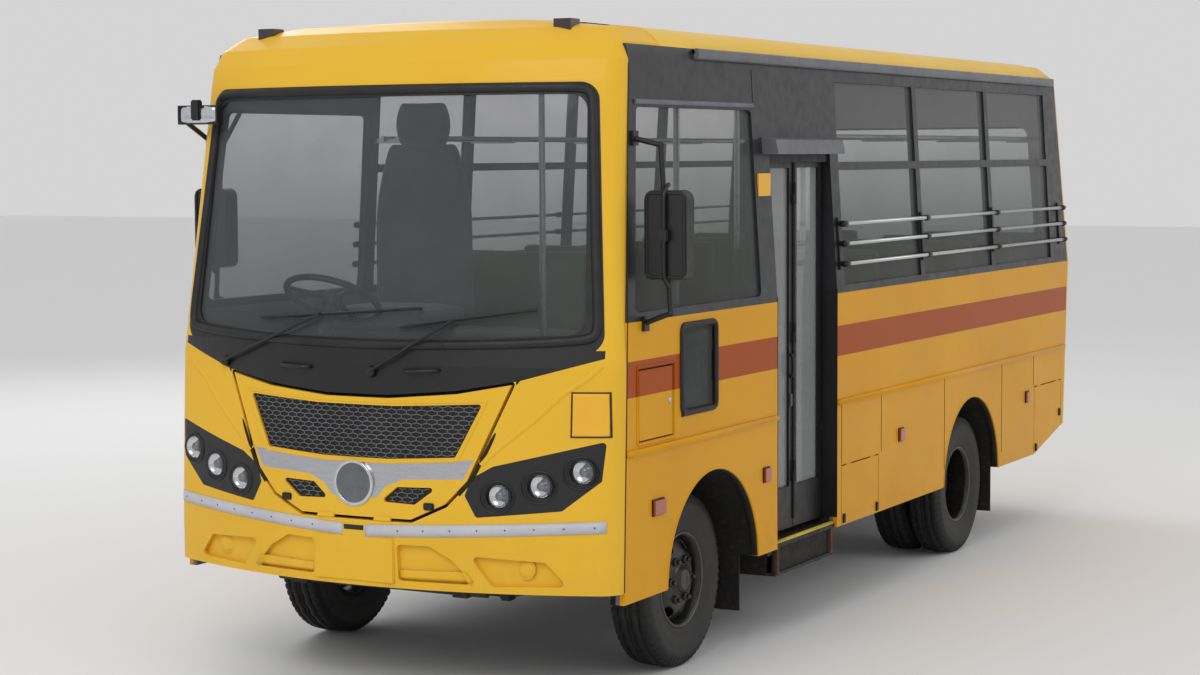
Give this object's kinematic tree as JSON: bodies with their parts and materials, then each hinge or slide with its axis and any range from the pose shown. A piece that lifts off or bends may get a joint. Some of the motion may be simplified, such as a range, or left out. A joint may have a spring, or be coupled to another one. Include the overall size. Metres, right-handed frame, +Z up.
{
  "type": "school bus",
  "caption": "Midi school bus with a moulded front mask, folding kerb-side entrance door, guard-railed side windows, twin rear wheels, steered front wheels and hinged service flaps.",
  "frame": {"origin": "on the ground, in the middle of the bus's box", "axes": "+X to the bus's left (door) side, +Y to its rear, +Z up"},
  "size_m": [2.624, 6.5385, 2.842],
  "materials": {
    "yellow_paint": "gloss",
    "black_paint": "satin",
    "black_plastic": "textured",
    "window_rubber": "matt",
    "window_glass": "clear",
    "silver_trim": "silver",
    "lamp_glass": "clear",
    "amber_lens": "gloss",
    "rail_steel": "brushed",
    "tyre_rubber": "worn",
    "rim_black": "satin",
    "chassis_black": "satin",
    "engine_grey": "cast",
    "floor_covering": "matt",
    "seat_green": "woven",
    "seat_dark": "woven",
    "seat_steel": "satin"
  },
  "bodies": {
    "bus": {"front_mask": "yellow_paint", "front_bumper": "yellow_paint", "left_front_panel": "yellow_paint", "left_rear_panel": "yellow_paint", "right_lower_panel": "yellow_paint", "roof_panel": "yellow_paint", "rear_panel": "yellow_paint", "cowl_panel": "black_paint", "left_front_window_frame": "black_paint", "left_rear_window_frame": "black_paint", "right_window_frame": "black_paint", "cantrails": "black_paint", "door_frame": "black_paint", "headlamp_housings": "black_plastic", "mirrors": "black_plastic", "arch_liners": "black_plastic", "dashboard": "black_plastic", "windscreen_gasket": "window_rubber", "windscreen_glass": "window_glass", "side_glass": "window_glass", "rear_glass": "window_glass", "headlamp_lenses": "lamp_glass", "signal_lamps": "amber_lens", "guard_rails": "rail_steel", "luggage_racks": "rail_steel", "chassis_frame": "chassis_black", "tow_eyes": "chassis_black", "front_axle_beam": "chassis_black", "rear_axle": "chassis_black", "leaf_springs": "chassis_black", "underfloor_units": "chassis_black", "entrance_steps": "chassis_black", "engine_block": "engine_grey", "floor": "floor_covering", "passenger_seats": "seat_green", "driver_seat": "seat_dark", "seat_frames": "seat_steel"},
    "knuckle_left": {"knuckle_left": "chassis_black"},
    "knuckle_right": {"knuckle_right": "chassis_black"},
    "tie_rod": {"tie_rod": "chassis_black"},
    "front_wheel_left": {"front_rim_left": "rim_black", "front_tyre_left": "tyre_rubber"},
    "front_wheel_right": {"front_rim_right": "rim_black", "front_tyre_right": "tyre_rubber"},
    "rear_wheel_left": {"rear_rim_left": "rim_black", "rear_tyres_left": "tyre_rubber"},
    "rear_wheel_right": {"rear_rim_right": "rim_black", "rear_tyres_right": "tyre_rubber"},
    "steering_wheel": {"steering_wheel": "black_plastic"},
    "door_front_leaf": {"door_front_leaf": "black_paint", "door_front_glass": "window_glass"},
    "door_rear_leaf": {"door_rear_leaf": "black_paint", "door_rear_glass": "window_glass"},
    "grille_flap": {"grille_flap": "yellow_paint", "grille_mesh": "black_plastic", "grille_bar": "silver_trim"},
    "service_flap": {"service_flap": "yellow_paint"},
    "locker_flap": {"locker_flap": "yellow_paint"},
    "rear_flap": {"rear_flap": "yellow_paint"}
  },
  "joints": [
    {"name": "steer_left", "type": "hinge", "parent": "bus", "child": "knuckle_left", "pos_m": [0.715, -2.09, 0.386], "axis": [0, 0, 1], "range_deg": [-35, 35]},
    {"name": "steer_right", "type": "hinge", "parent": "bus", "child": "knuckle_right", "pos_m": [-0.715, -2.09, 0.386], "axis": [0, 0, 1], "range_deg": [-35, 35]},
    {"name": "tie_rod_swing", "type": "hinge", "parent": "knuckle_left", "child": "tie_rod", "pos_m": [0.715, -1.92, 0.293], "axis": [0, 0, 1], "range_deg": [-35, 35]},
    {"name": "front_wheel_left_turn", "type": "hinge", "parent": "knuckle_left", "child": "front_wheel_left", "pos_m": [0.86, -2.09, 0.386], "axis": [1, 0, 0], "continuous": true},
    {"name": "front_wheel_right_turn", "type": "hinge", "parent": "knuckle_right", "child": "front_wheel_right", "pos_m": [-0.86, -2.09, 0.386], "axis": [1, 0, 0], "continuous": true},
    {"name": "rear_wheel_left_turn", "type": "hinge", "parent": "bus", "child": "rear_wheel_left", "pos_m": [0.83, 1.31, 0.386], "axis": [1, 0, 0], "continuous": true},
    {"name": "rear_wheel_right_turn", "type": "hinge", "parent": "bus", "child": "rear_wheel_right", "pos_m": [-0.83, 1.31, 0.386], "axis": [1, 0, 0], "continuous": true},
    {"name": "steering_wheel_turn", "type": "hinge", "parent": "bus", "child": "steering_wheel", "pos_m": [-0.545, -2.6, 1.62], "axis": [0, 0.5, 0.866], "range_deg": [-640, 640]},
    {"name": "door_front_swing", "type": "hinge", "parent": "bus", "child": "door_front_leaf", "pos_m": [1.005, -1.385, 1.35], "axis": [0, 0, 1], "range_deg": [0, 85]},
    {"name": "door_rear_fold", "type": "hinge", "parent": "door_front_leaf", "child": "door_rear_leaf", "pos_m": [1.03, -1.05, 1.35], "axis": [0, 0, 1], "range_deg": [-170, 0]},
    {"name": "grille_flap_drop", "type": "hinge", "parent": "bus", "child": "grille_flap", "pos_m": [0, -3.262, 0.762], "axis": [1, 0, 0], "range_deg": [0, 75]},
    {"name": "service_flap_swing", "type": "hinge", "parent": "bus", "child": "service_flap", "pos_m": [1.1, -2.8165, 1.231], "axis": [0, 0, -1], "range_deg": [0, 110]},
    {"name": "locker_flap_lift", "type": "hinge", "parent": "bus", "child": "locker_flap", "pos_m": [1.1, -0.3825, 0.7265], "axis": [0, -1, 0], "range_deg": [0, 90]},
    {"name": "rear_flap_lift", "type": "hinge", "parent": "bus", "child": "rear_flap", "pos_m": [1.1, 2.7165, 0.8415], "axis": [0, -1, 0], "range_deg": [0, 90]}
  ],
  "couplings": [
    {"joint": "steer_right", "follows": "steer_left", "ratio": 1},
    {"joint": "tie_rod_swing", "follows": "steer_left", "ratio": -1},
    {"joint": "steering_wheel_turn", "follows": "steer_left", "ratio": 18},
    {"joint": "door_rear_fold", "follows": "door_front_swing", "ratio": -2}
  ]
}
